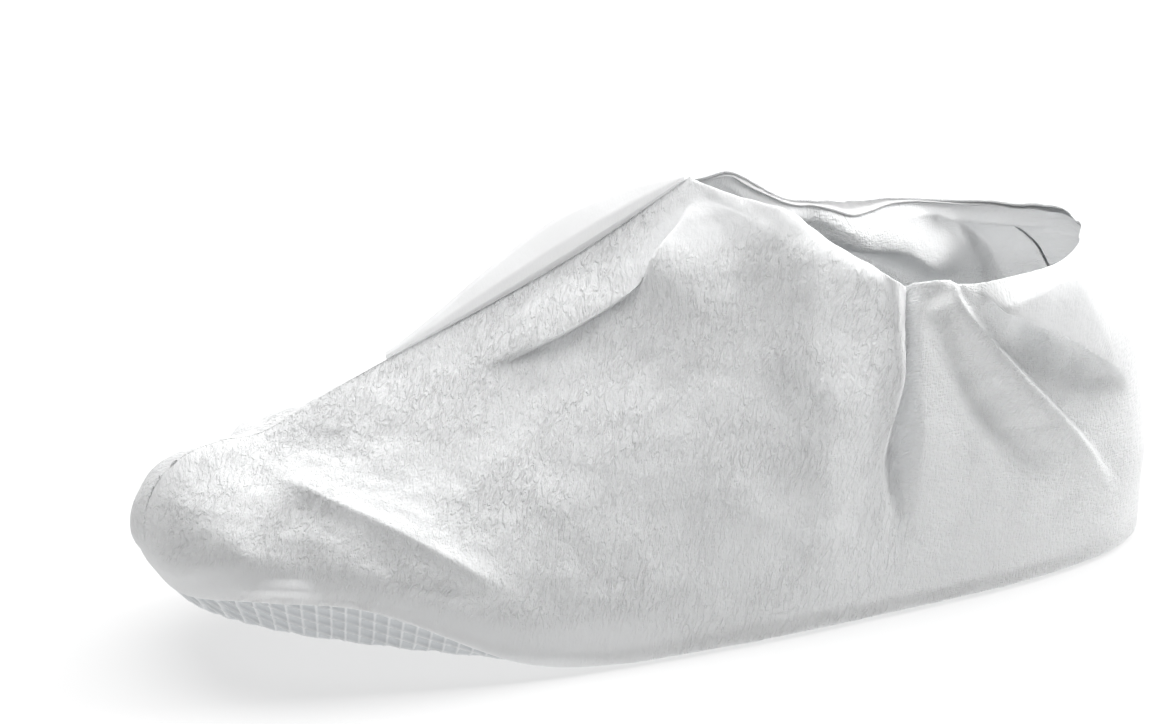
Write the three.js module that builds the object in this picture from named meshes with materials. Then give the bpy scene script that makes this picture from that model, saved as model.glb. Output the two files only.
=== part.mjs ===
// A disposable cloth shoe cover, standing empty on its sole and keeping the shape of the foot.
// Millimetres. Z is up, the toe points along -Y, and the wearer's left side is +X.
// The two side panels are lofted through sections that lean from the sole to the instep ridge or,
// behind the opening's front, to the rim. Folds and gathers are then laid over that surface.

import * as THREE from 'three';
import { mergeVertices } from 'three/addons/utils/BufferGeometryUtils.js';

// Walls and clearances
const CLOTH_WALL = 1.2;
const SOLE_WALL = 1.4;
const HEM_WALL = 1.4;
const SEAM_WALL = 1.0;
const PIECE_GAP = 0.4; // between a wall and the piece that lines it
const CENTRE_GAP = 0.2; // from each panel to the middle plane

// Grid of the panels
const PANEL_ROWS = 16; // cells from the lower edge to the top
const ROW_EASE = 1.2; // above 1, the rows crowd towards the top

const EDGE_LIFT = 1; // the cloth's lower edge stays this far off the floor

// Sole: how far its turned-up edge runs inside the panels, as a share of the panel's height
const SOLE_LAP = 0.09;
const SOLE_TUCK = 1.0; // inset of the underside's edge, besides half the height that shows
const SOLE_STRIPS = 4; // cells across the underside

// Ankle hem: rows of the panel that it lines, counted down from the rim
const HEM_ROWS = 2;
const HEM_GAP = 0.7; // wider than the other gaps, because the rim is crumpled

// Front seam: a standing fold of the two panels' edges along the instep ridge
const SEAM_START = 4.45; // in sections
const SEAM_END = 6.9;
const SEAM_HEIGHT = 8.5;
const SEAM_END_HEIGHT = 1.2;
const SEAM_LIFT = 0.8; // from the ridge to the middle of the fold's foot
const SEAM_LEAN = 40; // degrees from upright, towards the wearer's right
const SEAM_ROWS = 2;

// Heel seam: a strip inside the back, a little to the right, between the sole's edge and the hem
const HEEL_STRIP_AT = 13.9; // in sections
const HEEL_STRIP_LOW = 0.16; // shares of the panel's height
const HEEL_STRIP_HIGH = 0.84;
const HEEL_STRIP_WIDE = 0.08; // in sections, on each side of its middle
const HEEL_STRIP_ROWS = 9;
const HEEL_STRIP_GAP = 0.8; // wider than the other gaps, because the heel is creased

// Gathers that the elastic draws in the rim
const GATHERS = 8; // on each side
const GATHER_DEPTH = 1.1;
const GATHER_REACH = 0.12; // share of the panel's height over which they die out
const GATHER_ENDS = 0.1; // share of the rim over which they start, at the front and at the heel
const GATHER_UNEVEN = 1.7; // shift between neighbours, so that they differ in width

// Folds keep off the sewn edges by these margins
const EDGE_CLEAR = 0.13; // share of the height without folds, at the sole
const EDGE_MARGIN = 0.1; // share of the height, above that
const RIDGE_MARGIN = 0.07; // share of the height, at the ridge
const RIM_EASE = 0.7; // in sections, from the opening's front to where the rim may fold
const TIP_MARGIN = 0.5; // in sections, at the toe tip and the heel

const table = (columns, rows) => rows.map(
  (row) => Object.fromEntries(columns.map((name, place) => [name, row[place]])),
);

// Sections from the toe tip to the back of the heel, for the wearer's left side.
// edge: the lower edge of the cloth. soleUp: the underside of the sole there.
// top: the ridge or, from row OPENING_FRONT on, the rim. rightUp: how much higher the right rim is.
// flare and rise: tilt in degrees and reach of the wall as it leaves the edge.
// droop and reach: the same as it arrives at the top. cells: grid cells from here to the next section.
const SECTIONS = table(
  ['edgeOut', 'edgeAlong', 'edgeUp', 'soleUp', 'topOut', 'topAlong', 'topUp', 'rightUp',
    'flare', 'rise', 'droop', 'reach', 'cells'],
  [
    [0, -160, 27, 24.5, 0, -157, 56, 0, 30, 11, 44, 8.5, 3],
    [23, -157, 27, 21.5, 0, -150, 61, 0, 27, 14, 30, 16, 4],
    [43, -141, 29.5, 18, 0, -139, 64, 0, 20, 20, 23, 24, 5],
    [54, -112, 26, 12.5, 0, -126, 66, 0, 15, 24, 24, 30, 6],
    [58.5, -70, 6, 6, 0, -104, 75.5, 0, 12, 36, 22, 33, 5],
    [59, -36, 1, 0, 0, -68, 91, 0, 10, 44, 29, 34, 5],
    [58, -10, 1, 0, 0, -30, 108.5, 0, 10, 50, 37, 36, 5],
    [56.5, 12, 1, 0, 0, 7, 127, 0, 10, 50, 40, 34, 3],
    [55, 26, 1, 0, 22, 30, 118, 3, 9, 48, 45, 22, 3],
    [53, 40, 1, 0, 32, 52, 98, 10, 8, 44, 62, 16, 5],
    [49.5, 66, 1, 0, 35, 64, 96, 9, 8, 43, 62, 15, 5],
    [43.5, 100, 1, 0, 38, 77, 95.5, 7, 7, 42, 62, 14, 5],
    [33, 131, 1, 0, 39.5, 93, 96.5, 5, 7, 42, 58, 14, 4],
    [22, 147.5, 1, 0, 36.5, 113, 99, 1, 6, 42, 48, 16, 3],
    [11, 156.5, 1, 0, 21, 128, 102, -1, 5, 42, 38, 20, 2],
    [0, 160, 1, 0, 0, 133, 104, 0, 5, 42, 30, 22, 0],
  ],
);
const OPENING_FRONT = 7;
const LAST = SECTIONS.length - 1;
const OUTWARD = ['edgeOut', 'topOut']; // columns that change sign across the middle plane
const TOP = ['topOut', 'topAlong', 'topUp', 'rightUp']; // columns with a corner at the opening's front
const CORNER_FROM = 0.7; // share of the height above which that corner comes in

// Folds, each along a curve through three places given as (section, share of the height).
// left and right: width of the flank on that side of the curve, seen from outside and looking along it.
// height: outward, or inward if negative. sharp: 0 for a round crest, 1 for a creased one.
// lean: how far the crest is pushed to its left, as a share of the height.
// fadeIn and fadeOut: shares of the curve over which the fold rises and dies out.
const FOLD_COLUMNS = ['startAt', 'startUp', 'midAt', 'midUp', 'endAt', 'endUp',
  'left', 'right', 'height', 'sharp', 'lean', 'fadeIn', 'fadeOut'];
const FOLDS = {
  left: table(FOLD_COLUMNS, [
    [2.76, 0.82, 3.45, 0.42, 4.3, 0.20, 42, 12, 6, 0.6, -0.2, 0.3, 0.35], // crease across the vamp
    [2.5, 0.60, 3.05, 0.36, 3.7, 0.15, 14, 22, -4, 0, 0, 0.3, 0.3], // hollow on its toe side
    [5.2, 0.83, 5.8, 0.825, 6.5, 0.84, 16, 8, 5, 0.7, -0.5, 0.3, 0.3], // strip along the instep
    [5.5, 0.77, 5.95, 0.75, 6.4, 0.75, 8, 16, -3, 0, 0, 0.3, 0.4], // hollow under the strip
    [6.3, 0.80, 6.83, 0.85, 7.6, 0.97, 8, 24, 5, 0.5, 0.3, 0.4, 0], // flap below the opening's front
    [9.4, 0.98, 9.15, 0.66, 9.0, 0.28, 7, 34, 6, 0.5, 0.4, 0, 0.5], // end of the front hump
    [9.55, 0.98, 9.4, 0.56, 9.52, 0.16, 6, 6, -5, 0, 0, 0, 0.4], // valley behind the hump
    [9.85, 0.98, 9.67, 0.56, 9.65, 0.14, 20, 6, 4, 0.4, 0, 0, 0.4], // ridge behind the valley
    [10.45, 0.95, 10.8, 0.56, 11.2, 0.22, 10, 12, -4, 0, 0, 0.1, 0.5], // second valley
    [10.7, 0.98, 11.37, 0.52, 12.4, 0.12, 18, 9, 6, 0.9, -0.2, 0, 0.4], // sharp ridge down to the heel
    [11.5, 0.95, 12.5, 0.75, 13.5, 0.34, 26, 8, 6, 0.6, -0.5, 0.2, 0.4], // collar over the heel
    [11.9, 0.78, 12.35, 0.62, 13.0, 0.38, 8, 14, -3, 0, 0, 0.3, 0.4], // hollow under the collar
  ]),
  right: table(FOLD_COLUMNS, [
    [2.8, 0.76, 3.6, 0.42, 4.5, 0.22, 38, 14, 5, 0.5, -0.2, 0.3, 0.35], // crease across the vamp
    [5.4, 0.80, 6.0, 0.79, 6.9, 0.86, 20, 10, 4, 0.5, -0.3, 0.3, 0.3], // strip along the instep
    [9.7, 0.90, 11.4, 0.82, 12.3, 0.60, 12, 9, -13, 0.4, 0.2, 0.3, 0.3], // wall folded into the opening
    [12.7, 0.98, 12.85, 0.78, 12.7, 0.50, 7, 26, -7, 0.4, -0.2, 0, 0.4], // upright end of that fold
    [8.6, 0.66, 9.8, 0.62, 11.0, 0.62, 14, 30, 5, 0.3, 0, 0.3, 0.3], // bulge below it
    [11.3, 0.58, 11.1, 0.38, 10.8, 0.16, 12, 14, 5, 0.6, 0, 0.3, 0.5], // ridge down from the bulge
    [12.9, 0.48, 12.6, 0.36, 12.3, 0.20, 10, 10, -4, 0, 0, 0.3, 0.5], // valley behind it
    [13.3, 0.60, 13.2, 0.42, 13.4, 0.18, 14, 10, 5, 0.7, 0, 0.4, 0.5], // ridge down to the heel
  ]),
};
const FOLD_STEPS = 20; // straight steps that stand for a fold's curve

const SLOPE_STEP = 1e-3; // step in u or v for a slope
const MERGE_WITHIN = 1e-3; // corners this close are one vertex
const SLIVER = 1e-7; // a triangle smaller than this is left out

const UP = new THREE.Vector3(0, 0, 1);
const smooth = (x) => {
  const t = THREE.MathUtils.clamp(x, 0, 1);
  return t * t * (3 - 2 * t);
};
const mirrored = (row) => {
  const copy = { ...row };
  for (const name of OUTWARD) copy[name] = -row[name];
  return copy;
};

// Smooth curve through four neighbouring values, between the second and the third.
function blend(p0, p1, p2, p3, t) {
  return 0.5 * (2 * p1 + (p2 - p0) * t + (2 * p0 - 5 * p1 + 4 * p2 - p3) * t * t
    + (3 * p1 - p0 - 3 * p2 + p3) * t * t * t);
}

// Section at any place u between the rows. Past either end the other side's sections follow on.
// rim holds the top's columns with their corner at the opening's front.
function sectionAt(u) {
  const row = THREE.MathUtils.clamp(Math.floor(u), 0, LAST - 1);
  const here = SECTIONS[row];
  const next = SECTIONS[row + 1];
  const before = row > 0 ? SECTIONS[row - 1] : mirrored(SECTIONS[1]);
  const after = row + 2 <= LAST ? SECTIONS[row + 2] : mirrored(SECTIONS[LAST - 1]);
  const section = { rim: {} };
  for (const name of Object.keys(here)) {
    section[name] = blend(before[name], here[name], next[name], after[name], u - row);
  }
  for (const name of TOP) {
    const p0 = row === OPENING_FRONT ? mirrored(next)[name] : before[name];
    const p3 = row + 1 === OPENING_FRONT ? 2 * next[name] - here[name] : after[name];
    section.rim[name] = blend(p0, here[name], next[name], p3, u - row);
  }
  section.soleUp = Math.max(section.soleUp, 0);
  section.edgeUp = Math.max(section.edgeUp, EDGE_LIFT);
  return section;
}

// Plan direction that points out of the cover, square to its lower edge.
function outwardAt(u) {
  const back = sectionAt(u - SLOPE_STEP);
  const ahead = sectionAt(u + SLOPE_STEP);
  return new THREE.Vector3(ahead.edgeAlong - back.edgeAlong, back.edgeOut - ahead.edgeOut, 0).normalize();
}

// Smooth surface without folds. Both panels are worked out on the left side and mirrored at the end.
function surfaceAt(side, u, v) {
  const section = sectionAt(u);
  const out = outwardAt(u);
  const flare = THREE.MathUtils.degToRad(section.flare);
  const droop = THREE.MathUtils.degToRad(section.droop);
  const topOf = ({ topOut, topAlong, topUp, rightUp }) => (
    new THREE.Vector3(topOut, topAlong, topUp + (side === 'right' ? rightUp : 0))
  );
  const edge = new THREE.Vector3(section.edgeOut, section.edgeAlong, section.edgeUp);
  const corner = smooth((v - CORNER_FROM) / (1 - CORNER_FROM));
  const top = topOf(section).lerp(topOf(section.rim), corner);
  const low = edge.clone()
    .addScaledVector(UP, section.rise * Math.cos(flare))
    .addScaledVector(out, section.rise * Math.sin(flare));
  const high = top.clone()
    .addScaledVector(out, section.reach * Math.cos(droop))
    .addScaledVector(UP, -section.reach * Math.sin(droop));
  return new THREE.CubicBezierCurve3(edge, low, high, top).getPoint(v);
}

function surfaceNormal(side, u, v) {
  const along = surfaceAt(side, u + SLOPE_STEP, v).sub(surfaceAt(side, u - SLOPE_STEP, v));
  const above = surfaceAt(side, u, Math.min(v + SLOPE_STEP, 1));
  const upward = above.sub(surfaceAt(side, u, Math.max(v - SLOPE_STEP, 0)));
  return along.cross(upward).normalize();
}

// Straight steps along a fold's curve on the smooth surface.
function foldPath(side, fold) {
  const start = new THREE.Vector2(fold.startAt, fold.startUp);
  const end = new THREE.Vector2(fold.endAt, fold.endUp);
  const pull = new THREE.Vector2(fold.midAt, fold.midUp).multiplyScalar(2)
    .addScaledVector(start, -0.5).addScaledVector(end, -0.5);
  const curve = new THREE.QuadraticBezierCurve(start, pull, end);
  return curve.getPoints(FOLD_STEPS).map((place) => surfaceAt(side, place.x, place.y));
}

const FOLD_PATHS = Object.fromEntries(Object.entries(FOLDS).map(
  ([side, folds]) => [side, folds.map((fold) => foldPath(side, fold))],
));

// Nearest place on a fold's path: its share of the length, and the way from it to the point.
function nearestOnPath(path, point) {
  let best = { distance: Infinity };
  for (let step = 0; step < path.length - 1; step += 1) {
    const line = new THREE.Line3(path[step], path[step + 1]);
    const share = line.closestPointToPointParameter(point, true);
    const across = point.clone().sub(line.at(share, new THREE.Vector3()));
    const distance = across.length();
    if (distance < best.distance) {
      const along = line.delta(new THREE.Vector3());
      best = { distance, across, along, share: (step + share) / (path.length - 1) };
    }
  }
  return best;
}

// Push that one fold gives to a point of the smooth surface.
function foldPush(fold, path, point, normal) {
  const near = nearestOnPath(path, point);
  const leftward = normal.clone().cross(near.along).normalize();
  const width = near.across.dot(leftward) > 0 ? fold.left : fold.right;
  const x = Math.min(near.distance / width, 1);
  const crest = (1 - x) ** 2 * (1 + 2 * x * (1 - fold.sharp));
  const rise = fold.fadeIn > 0 ? smooth(near.share / fold.fadeIn) : 1;
  const fall = fold.fadeOut > 0 ? smooth((1 - near.share) / fold.fadeOut) : 1;
  const height = fold.height * crest * rise * fall;
  return normal.clone().multiplyScalar(height).addScaledVector(leftward, height * fold.lean);
}

// Ripple of the rim where the elastic draws it in.
function gatherPush(u, v) {
  if (u < OPENING_FRONT) return 0;
  const along = (u - OPENING_FRONT) / (LAST - OPENING_FRONT);
  const turn = Math.PI * (GATHERS * along + Math.sin(GATHER_UNEVEN * GATHERS * along) / Math.PI);
  const ends = smooth(along / GATHER_ENDS) * smooth((1 - along) / GATHER_ENDS);
  return GATHER_DEPTH * Math.sin(2 * turn) * ends * smooth(1 - (1 - v) / GATHER_REACH);
}

// Outer face of a panel with its folds and gathers, still on the left side.
function clothAt(side, u, v) {
  const point = surfaceAt(side, u, v);
  const normal = surfaceNormal(side, u, v);
  const push = new THREE.Vector3();
  FOLDS[side].forEach((fold, index) => push.add(foldPush(fold, FOLD_PATHS[side][index], point, normal)));
  const nearRidge = Math.max(smooth((1 - v) / RIDGE_MARGIN), smooth((u - OPENING_FRONT) / RIM_EASE));
  const nearTips = smooth(u / TIP_MARGIN) * smooth((LAST - u) / TIP_MARGIN);
  push.multiplyScalar(smooth((v - EDGE_CLEAR) / EDGE_MARGIN) * nearRidge * nearTips);
  return point.add(push).addScaledVector(normal, gatherPush(u, v));
}

// Places of the grid's columns and rows
const COLUMN_PLACES = SECTIONS.flatMap(({ cells }, row) => (
  Array.from({ length: Math.max(cells, 1) }, (_, cell) => row + cell / Math.max(cells, 1))
));
const FRONT_COLUMN = COLUMN_PLACES.indexOf(OPENING_FRONT);
const LAST_COLUMN = COLUMN_PLACES.length - 1;
const ROW_SHARES = Array.from({ length: PANEL_ROWS + 1 }, (_, row) => (
  1 - (1 - row / PANEL_ROWS) ** ROW_EASE
));

const acrossMiddle = (point) => new THREE.Vector3(-point.x, point.y, point.z);

// A panel's outer face as columns of points with normals, on the left side.
function clothGrid(side) {
  const points = COLUMN_PLACES.map((u) => ROW_SHARES.map((v) => clothAt(side, u, v)));
  const normals = points.map((column, i) => column.map((point, j) => {
    const back = i > 0 ? points[i - 1][j] : acrossMiddle(points[1][j]);
    const ahead = i < LAST_COLUMN ? points[i + 1][j] : acrossMiddle(points[LAST_COLUMN - 1][j]);
    const below = column[Math.max(j - 1, 0)];
    const above = column[Math.min(j + 1, PANEL_ROWS)];
    return ahead.clone().sub(back).cross(above.clone().sub(below)).normalize();
  }));
  return { points, normals };
}

const CLOTH = { left: clothGrid('left'), right: clothGrid('right') };

// Point of a panel's grid, moved inward from the outer face.
function inside(side, column, row, depth) {
  return CLOTH[side].points[column][row].clone().addScaledVector(CLOTH[side].normals[column][row], -depth);
}

// Closed wall between an outer and an inner grid of points.
// loop: the last column runs on into the first. open: the end columns need an edge face.
function wallBetween(outer, inner, { loop = false, open = true, flip = false } = {}) {
  const positions = [];
  const addTriangle = (a, b, c) => {
    const corners = flip ? [a, c, b] : [a, b, c];
    const area = b.clone().sub(a).cross(c.clone().sub(a)).length();
    if (area < SLIVER) return;
    for (const corner of corners) positions.push(corner.x, corner.y, corner.z);
  };
  const addQuad = (a, b, c, d) => {
    addTriangle(a, b, c);
    addTriangle(a, c, d);
  };
  const columns = outer.length;
  const lastRow = outer[0].length - 1;
  const cells = loop ? columns : columns - 1;
  for (let i = 0; i < cells; i += 1) {
    const k = (i + 1) % columns;
    for (let j = 0; j < lastRow; j += 1) {
      addQuad(outer[i][j], outer[k][j], outer[k][j + 1], outer[i][j + 1]);
      addQuad(inner[i][j], inner[i][j + 1], inner[k][j + 1], inner[k][j]);
    }
    addQuad(outer[i][0], inner[i][0], inner[k][0], outer[k][0]);
    addQuad(outer[i][lastRow], outer[k][lastRow], inner[k][lastRow], inner[i][lastRow]);
  }
  if (open && !loop) {
    const end = columns - 1;
    for (let j = 0; j < lastRow; j += 1) {
      addQuad(outer[0][j], outer[0][j + 1], inner[0][j + 1], inner[0][j]);
      addQuad(outer[end][j], inner[end][j], inner[end][j + 1], outer[end][j + 1]);
    }
  }
  const soup = new THREE.BufferGeometry();
  soup.setAttribute('position', new THREE.Float32BufferAttribute(positions, 3));
  const geometry = mergeVertices(soup, MERGE_WITHIN);
  geometry.computeVertexNormals();
  return geometry;
}

function panel(side) {
  const place = (point) => {
    const clear = new THREE.Vector3(Math.max(point.x, 0) + CENTRE_GAP, point.y, point.z);
    return side === 'left' ? clear : acrossMiddle(clear);
  };
  const face = (depth) => COLUMN_PLACES.map(
    (_, column) => ROW_SHARES.map((__, row) => place(inside(side, column, row, depth))),
  );
  return wallBetween(face(0), face(CLOTH_WALL), { flip: side === 'right' });
}

// Tray whose underside is flat from the ball of the foot back and whose edge turns up inside the panels.
function sole() {
  const across = (u, depth) => {
    const section = sectionAt(u);
    const out = outwardAt(u);
    const lining = CLOTH_WALL + PIECE_GAP + depth;
    const underside = section.soleUp + depth;
    const halfSection = (side) => {
      const upper = surfaceAt(side, u, SOLE_LAP).addScaledVector(surfaceNormal(side, u, SOLE_LAP), -lining);
      const edgeUp = Math.max(section.edgeUp, underside + PIECE_GAP);
      const edge = new THREE.Vector3(section.edgeOut, section.edgeAlong, edgeUp)
        .addScaledVector(out, -lining);
      const tuck = SOLE_TUCK + Math.max(section.edgeUp - section.soleUp, 0) / 2;
      const corner = edge.clone().addScaledVector(out, -tuck).setZ(underside);
      return [upper, edge, corner];
    };
    const left = halfSection('left');
    const right = halfSection('right').map(acrossMiddle).reverse();
    const corner = left[left.length - 1];
    const middle = Array.from({ length: SOLE_STRIPS - 1 }, (_, strip) => (
      corner.clone().lerp(right[0], (strip + 1) / SOLE_STRIPS)
    ));
    return [...left, ...middle, ...right];
  };
  const face = (depth) => COLUMN_PLACES.map((u) => across(u, depth));
  return wallBetween(face(0), face(SOLE_WALL), { open: false, flip: true });
}

// Band that lines the rim all the way round.
function ankleHem() {
  const rows = Array.from({ length: HEM_ROWS + 1 }, (_, row) => PANEL_ROWS - HEM_ROWS + row);
  const onMiddle = (a, b) => a.clone().lerp(b, 0.5).setX(0);
  const face = (depth) => {
    const columnOf = (side, column) => rows.map((row) => {
      const point = inside(side, column, row, depth);
      return side === 'left' ? point : acrossMiddle(point);
    });
    const rim = COLUMN_PLACES.map((_, column) => column).slice(FRONT_COLUMN);
    const left = rim.map((column) => columnOf('left', column));
    const right = rim.map((column) => columnOf('right', column));
    const heel = left.pop().map((point, row) => onMiddle(point, right[right.length - 1][row]));
    right.pop();
    left[0][HEM_ROWS] = onMiddle(left[0][HEM_ROWS], right[0][HEM_ROWS]);
    right[0][HEM_ROWS] = left[0][HEM_ROWS].clone();
    return [...left, heel, ...right.reverse()];
  };
  const lining = CLOTH_WALL + HEM_GAP;
  return wallBetween(face(lining), face(lining + HEM_WALL), { loop: true });
}

// Standing fold along the instep ridge, highest halfway and leaning to the right.
function frontSeam() {
  const lean = THREE.MathUtils.degToRad(SEAM_LEAN);
  const rising = new THREE.Vector3(-Math.sin(lean), 0, Math.cos(lean));
  const facing = new THREE.Vector3(Math.cos(lean), 0, Math.sin(lean));
  const places = COLUMN_PLACES.filter((u) => u > SEAM_START && u < SEAM_END);
  const face = (offset) => places.map((u) => {
    const share = (u - SEAM_START) / (SEAM_END - SEAM_START);
    const height = SEAM_END_HEIGHT + (SEAM_HEIGHT - SEAM_END_HEIGHT) * Math.sin(Math.PI * share);
    const ridge = surfaceAt('left', u, 1).setX(0);
    const foot = ridge.addScaledVector(UP, SEAM_LIFT).addScaledVector(facing, offset);
    return Array.from({ length: SEAM_ROWS + 1 }, (_, row) => (
      foot.clone().addScaledVector(rising, (height * row) / SEAM_ROWS)
    ));
  });
  return wallBetween(face(SEAM_WALL / 2), face(-SEAM_WALL / 2));
}

// Strip inside the back of the heel, on the right panel and following its folds.
function heelSeam() {
  const shares = Array.from({ length: HEEL_STRIP_ROWS + 1 }, (_, row) => (
    THREE.MathUtils.lerp(HEEL_STRIP_LOW, HEEL_STRIP_HIGH, row / HEEL_STRIP_ROWS)
  ));
  const places = [HEEL_STRIP_AT - HEEL_STRIP_WIDE, HEEL_STRIP_AT, HEEL_STRIP_AT + HEEL_STRIP_WIDE];
  const face = (depth) => places.map((u) => shares.map((v) => (
    acrossMiddle(clothAt('right', u, v).addScaledVector(surfaceNormal('right', u, v), -depth))
  )));
  const lining = CLOTH_WALL + HEEL_STRIP_GAP;
  return wallBetween(face(lining), face(lining + SEAM_WALL), { flip: true });
}

// Finishes: white nonwoven cloth, and a greyer coated sole
const clothFinish = () => new THREE.MeshStandardMaterial({ color: 0xe9ebec, roughness: 0.85, metalness: 0 });
const soleFinish = () => new THREE.MeshStandardMaterial({ color: 0xd3d6d8, roughness: 0.6, metalness: 0 });

const shoeCover = new THREE.Group();
const pieces = [
  ['side_panel_left', panel('left'), clothFinish()],
  ['side_panel_right', panel('right'), clothFinish()],
  ['sole', sole(), soleFinish()],
  ['ankle_hem', ankleHem(), clothFinish()],
  ['front_seam', frontSeam(), clothFinish()],
  ['heel_seam', heelSeam(), clothFinish()],
];
for (const [name, geometry, finish] of pieces) {
  const mesh = new THREE.Mesh(geometry, finish);
  mesh.name = name;
  shoeCover.add(mesh);
}

export default shoeCover;
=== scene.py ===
import math

import bmesh
import bpy
import numpy as np
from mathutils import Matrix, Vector


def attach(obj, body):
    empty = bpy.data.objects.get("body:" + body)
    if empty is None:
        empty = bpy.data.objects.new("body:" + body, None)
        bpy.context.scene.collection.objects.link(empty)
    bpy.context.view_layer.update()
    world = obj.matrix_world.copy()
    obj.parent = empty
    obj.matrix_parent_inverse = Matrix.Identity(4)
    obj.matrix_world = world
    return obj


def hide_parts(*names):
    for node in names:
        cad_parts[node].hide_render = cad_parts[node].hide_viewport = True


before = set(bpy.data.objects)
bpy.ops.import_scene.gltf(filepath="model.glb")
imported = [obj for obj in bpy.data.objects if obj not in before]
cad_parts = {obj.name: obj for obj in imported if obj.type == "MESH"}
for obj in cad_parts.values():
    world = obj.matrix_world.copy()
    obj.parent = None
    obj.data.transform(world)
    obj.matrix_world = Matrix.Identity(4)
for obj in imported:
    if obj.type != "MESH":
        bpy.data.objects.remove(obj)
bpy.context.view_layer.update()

# A disposable shoe cover of white embossed nonwoven cloth, standing empty on its ribbed sole.
# Shapes are worked out in millimetres and become metres when a mesh is made.
# Z is up, the toe points along -Y, and the wearer's left side is +X.

MM = 0.001
SEED = 20
rng = np.random.default_rng(SEED)

# Cloth
CLOTH_WALL = 0.6  # thinner than the solids' walls, as the real laminate is
RIM_WALL = 0.8  # the cloth is turned in over an elastic at the rim
RIM_REACH = 0.05  # share of the height over which the wall thickens towards the rim
RIM_WALL_EASE = 0.4  # in sections, over which that comes in behind the opening's front
CENTRE_GAP = 0.008  # from each panel to the middle plane
ROLL_ROWS = 5  # rows that carry the outer face round the rim to the inner face
ROLL_EASE = 0.3  # in sections, over which the rim becomes round

# Grids: cells of the outer face, and how much coarser the inner face is
CELLS = {"left": (400, 165), "right": (330, 138)}
INNER_STEP = {"left": 2, "right": 1}  # the right panel's inner face shows in the opening

EDGE_LIFT = 1  # the cloth's lower edge stays this far off the floor
SLOPE_STEP = 1e-3  # step in u or v for a slope
TINY = 1e-9  # least length that a vector is divided by

UP = np.array([0.0, 0.0, 1.0])
ACROSS = np.array([-1.0, 1.0, 1.0])  # turns a left point into a right one


def smooth(x):
    t = np.clip(x, 0, 1)
    return t * t * (3 - 2 * t)


def add_object(name, data):
    thing = bpy.data.objects.new(name, data)
    bpy.context.scene.collection.objects.link(thing)
    return thing


def unit(vectors):
    return vectors / np.maximum(np.linalg.norm(vectors, axis=-1, keepdims=True), TINY)


# Sections from the toe tip to the back of the heel, for the wearer's left side, close to the solids'.
# edge: the lower edge of the cloth. sole_up: the underside of the sole there.
# top: the ridge or, from row OPENING_FRONT on, the rim. right_up: how much higher the right rim is.
# flare and rise: tilt in degrees and reach of the wall as it leaves the edge.
# droop and reach: the same as it arrives at the top.
SECTION_COLUMNS = (
    "edge_out", "edge_along", "edge_up", "sole_up", "top_out", "top_along", "top_up", "right_up",
    "flare", "rise", "droop", "reach",
)
SECTION_ROWS = (
    (0, -160, 27, 24.5, 0, -157, 56, 0, 30, 11, 44, 8.5),
    (23, -157, 27, 21.5, 0, -150, 61, 0, 27, 14, 30, 16),
    (43, -141, 29.5, 18, 0, -139, 64, 0, 20, 20, 23, 24),
    (54, -112, 26, 12.5, 0, -126, 65.2, 0, 15, 24, 24, 30),
    (58.5, -70, 6, 6, 0, -104, 75.5, 0, 12, 36, 22, 33),
    (59, -36, 1, 0, 0, -68, 91, 0, 10, 44, 29, 34),
    (58, -10, 1, 0, 0, -30, 108.5, 0, 10, 50, 37, 36),
    (56.5, 12, 1, 0, 0, 7, 127, 0, 10, 50, 33, 34),
    (55, 26, 1, 0, 22, 30, 118, 3, 9, 48, 35, 24),
    (53, 40, 1, 0, 32, 52, 98, 10, 8, 44, 62, 16),
    (49.5, 66, 1, 0, 35, 64, 96, 9, 8, 43, 62, 15),
    (43.5, 100, 1, 0, 38, 77, 95.5, 7, 7, 42, 62, 14),
    (33, 131, 1, 0, 39.5, 93, 96.5, 5, 7, 42, 58, 14),
    (22, 147.5, 1, 0, 36.5, 113, 99, 1, 6, 42, 48, 16),
    (11, 156.5, 1, 0, 21, 128, 102, -1, 5, 42, 38, 20),
    (0, 160, 1, 0, 0, 133, 104, 0, 5, 42, 30, 22),
)
SECTIONS = dict(zip(SECTION_COLUMNS, np.array(SECTION_ROWS, float).T))
OPENING_FRONT = 7
LAST = len(SECTION_ROWS) - 1
OUTWARD = ("edge_out", "top_out")  # columns that change sign across the middle plane
TOP = ("top_out", "top_along", "top_up", "right_up")  # columns with a corner at the opening's front
RIM_START = dict(zip(TOP, (22, 15, -11, 0)))  # the way the rim leaves the opening's front, in mm a section
CORNER_FROM = 0.7  # share of the height above which that corner comes in
TOE_RADIUS = 12  # of the toe and the vamp across the middle plane
TOE_ROUND_REACH = 26  # mm from that plane within which the cloth is rounded
TOE_ROUND_FROM = 2.8  # in sections, where the rounding starts to die out
TOE_ROUND_EASE = 1.4  # in sections, over which it does
TOE_ROUND_LOW = 0.15  # share of the height at which it sets in
TOE_ROUND_RISE = 0.3  # share of the height over which it does
PROFILE_UPWARD = 24  # straight steps of the toe's outline, up its front
PROFILE_ALONG = 69  # and along the ridge

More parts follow.
